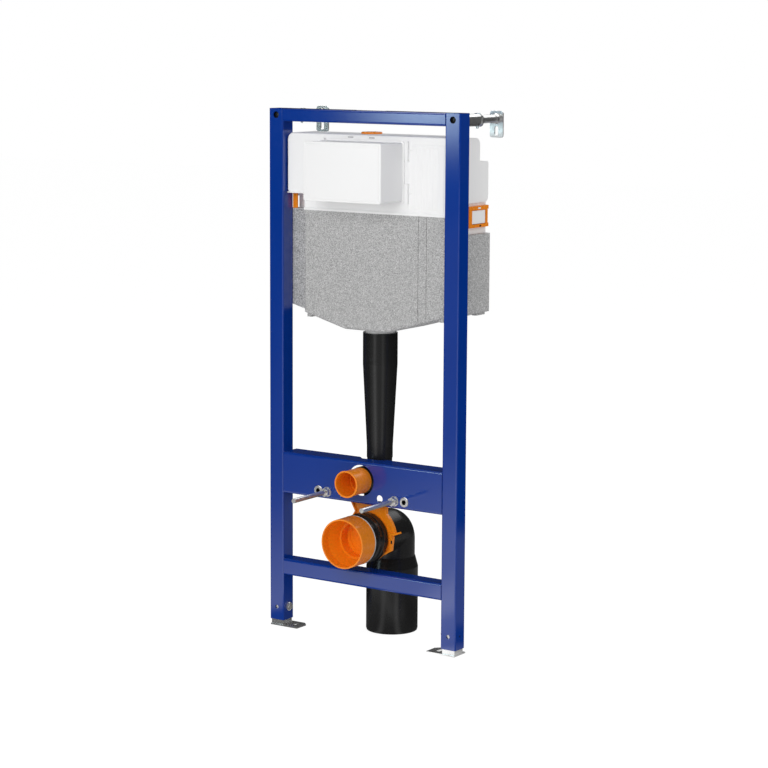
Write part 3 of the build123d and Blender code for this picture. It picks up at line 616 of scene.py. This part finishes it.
# Stage and light
def soft_light(name, place, width, height, power):
    """A large lamp that only lights; the reflections come from the softbox, card, floor and room."""
    lamp = bpy.data.lights.new(name, "AREA")
    lamp.shape = "RECTANGLE"
    lamp.size = width
    lamp.size_y = height
    lamp.energy = power
    thing = bpy.data.objects.new(name, lamp)
    thing.location = place
    thing.rotation_euler = (Vector(LAMP_AIM) - Vector(place)).to_track_quat("-Z", "Y").to_euler()
    thing.visible_glossy = False
    bpy.context.scene.collection.objects.link(thing)


def stage_sheet(name, corners, shader, output):
    """A flat stage piece whose material ends in the given shader output."""
    mesh = bpy.data.meshes.new(name)
    mesh.from_pydata(corners, [], [(0, 1, 2, 3)])
    sheet = bpy.data.objects.new(name, mesh)
    bpy.context.scene.collection.objects.link(sheet)
    shader.link(output, shader.tree.nodes["Material Output"].inputs["Surface"])
    mesh.materials.append(shader.material)
    return sheet


def reflector(name, corners, shader, output):
    """A glowing stage sheet that only the glossy surfaces see."""
    sheet = stage_sheet(name, corners, shader, output)
    sheet.visible_camera = False
    sheet.visible_diffuse = False
    sheet.visible_shadow = False


def drain_patch(s, x, y):
    """Tone round the drain: dark near it, 1 far from it."""
    from_x = s.maths("SUBTRACT", x, centre_x / MM)
    from_y = s.maths("SUBTRACT", y, drain.y / MM)
    return s.rise(s.distance(from_x, from_y), PATCH_FADE, PATCH_TONE, 1.0)


def post_trail(s, x, y):
    """1 along the right post's reflection on the floor, 0 beside it."""
    across = s.maths("MULTIPLY", s.maths("SUBTRACT", x, posts["right"].x / MM), math.cos(TRAIL_AZIMUTH))
    along = s.maths("MULTIPLY", y, math.sin(TRAIL_AZIMUTH))
    return s.rise(s.maths("ABSOLUTE", s.maths("SUBTRACT", across, along)), TRAIL_FADE, 1.0, 0.0)


def front_reflection(s, x, y, patch):
    """The floor in front: tones by X, dimmed at the left and at the drain, with the drain's sheen."""
    start = FRONT_TONES[0][0]
    end = FRONT_TONES[-1][0]
    stops = [((place - start) / (end - start), grey(tone)) for place, tone in FRONT_TONES]
    tone = s.ramp(s.span(x, start, end, 0.0, 1.0), *stops)
    tone = s.maths("MULTIPLY", tone, s.maths("MAXIMUM", patch, post_trail(s, x, y)))
    left_side = s.maths("SUBTRACT", x, s.maths("MULTIPLY", y, LEFT_SLOPE))
    tone = s.maths("MULTIPLY", tone, s.rise(left_side, LEFT_FADE))
    turn = s.maths("ARCTAN2", s.maths("SUBTRACT", x, centre_x / MM), s.maths("SUBTRACT", drain.y / MM, y))
    for angle in SHEEN_ANGLES:
        off = s.maths("ABSOLUTE", s.maths("SUBTRACT", turn, angle))
        tone = s.maths("ADD", tone, s.rise(off, SHEEN_FADE, SHEEN_TONE, 0.0))
    return tone


def floor_reflection(s):
    """What the glossy surfaces see of the floor."""
    x, y, _ = s.axes()
    patch = drain_patch(s, x, y)
    front = front_reflection(s, x, y, patch)
    depth = s.maths("ADD", s.maths("MULTIPLY", x, AWAY_X), s.maths("MULTIPLY", y, AWAY_Y))
    rear = s.maths("MULTIPLY", s.rise(depth, REAR_FADE, REAR_TONE, 0.0), patch)
    return s.choose(s.span(depth, *BEHIND_FRAME, 0.0, 1.0), front, rear)


def make_floor():
    """A pale floor: white to the camera but for a faint shadow, with its own tones for reflections."""
    s = Shader("pale_floor", Base_Color=(*grey(0.92), 1.0), Roughness=0.9)
    seen = s.join(FLOOR_WHITE, s.principled.outputs["BSDF"], s.glow(FLOOR_WHITE_STRENGTH))
    path = s.add("ShaderNodeLightPath")
    strength = s.choose(path.outputs["Is Glossy Ray"], FLOOR_FILL, floor_reflection(s))
    output = s.join(path.outputs["Is Camera Ray"], s.glow(strength), seen)
    half = FLOOR_HALF
    corners = [(x, y, FLOOR_LEVEL) for x, y in ((-half, -half), (half, -half), (half, half), (-half, half))]
    stage_sheet("studio_floor", corners, s, output)


def make_softbox():
    """A softbox at the front left with soft edges."""
    s = Shader("softbox")
    x, _, z = s.axes()
    edge = s.maths("MULTIPLY", s.rise(x, SOFTBOX_LEFT_FADE), s.rise(x, SOFTBOX_RIGHT_FADE))
    edge = s.maths("MULTIPLY", edge, s.rise(z, SOFTBOX_LOW_FADE))
    (x0, x1), (z0, z1) = SOFTBOX_X, SOFTBOX_Z
    corners = [(x, SOFTBOX_Y, z) for x, z in ((x0, z0), (x1, z0), (x1, z1), (x0, z1))]
    reflector("softbox", corners, s, s.glow(s.maths("MULTIPLY", edge, SOFTBOX_STRENGTH), SOFTBOX_COLOUR))


def make_overhead():
    """A card high over the right half, which draws the lines along the folds."""
    s = Shader("overhead_card")
    x, _, _ = s.axes()
    (x0, x1), (y0, y1) = CARD_X, CARD_Y
    corners = [(x, y, CARD_Z) for x, y in ((x0, y0), (x1, y0), (x1, y1), (x0, y1))]
    reflector("overhead_card", corners, s, s.glow(s.rise(x, CARD_FADE, 0.0, CARD_STRENGTH)))


def make_room():
    """White to the camera, grey to diffuse surfaces and dim to glossy ones."""
    world = bpy.data.worlds.new("studio")
    bpy.context.scene.world = world
    world.use_nodes = True
    tree = world.node_tree
    path = tree.nodes.new("ShaderNodeLightPath")
    plain = tree.nodes["Background"]
    plain.inputs["Color"].default_value = (1.0, 1.0, 1.0, 1.0)
    plain.inputs["Strength"].default_value = ROOM_DIFFUSE
    result = plain.outputs["Background"]
    for ray, strength in (("Is Glossy Ray", ROOM_GLOSSY), ("Is Camera Ray", ROOM_CAMERA)):
        tone = tree.nodes.new("ShaderNodeBackground")
        tone.inputs["Color"].default_value = (1.0, 1.0, 1.0, 1.0)
        tone.inputs["Strength"].default_value = strength
        mix = tree.nodes.new("ShaderNodeMixShader")
        tree.links.new(path.outputs[ray], mix.inputs["Fac"])
        tree.links.new(result, mix.inputs[1])
        tree.links.new(tone.outputs["Background"], mix.inputs[2])
        result = mix.outputs["Shader"]
    tree.links.new(result, tree.nodes["World Output"].inputs["Surface"])


place_camera()
make_room()
make_floor()
make_softbox()
make_overhead()
for name, (place, width, height, power) in LAMPS.items():
    soft_light(name, place, width, height, power)
bpy.context.scene.view_settings.view_transform = "Standard"
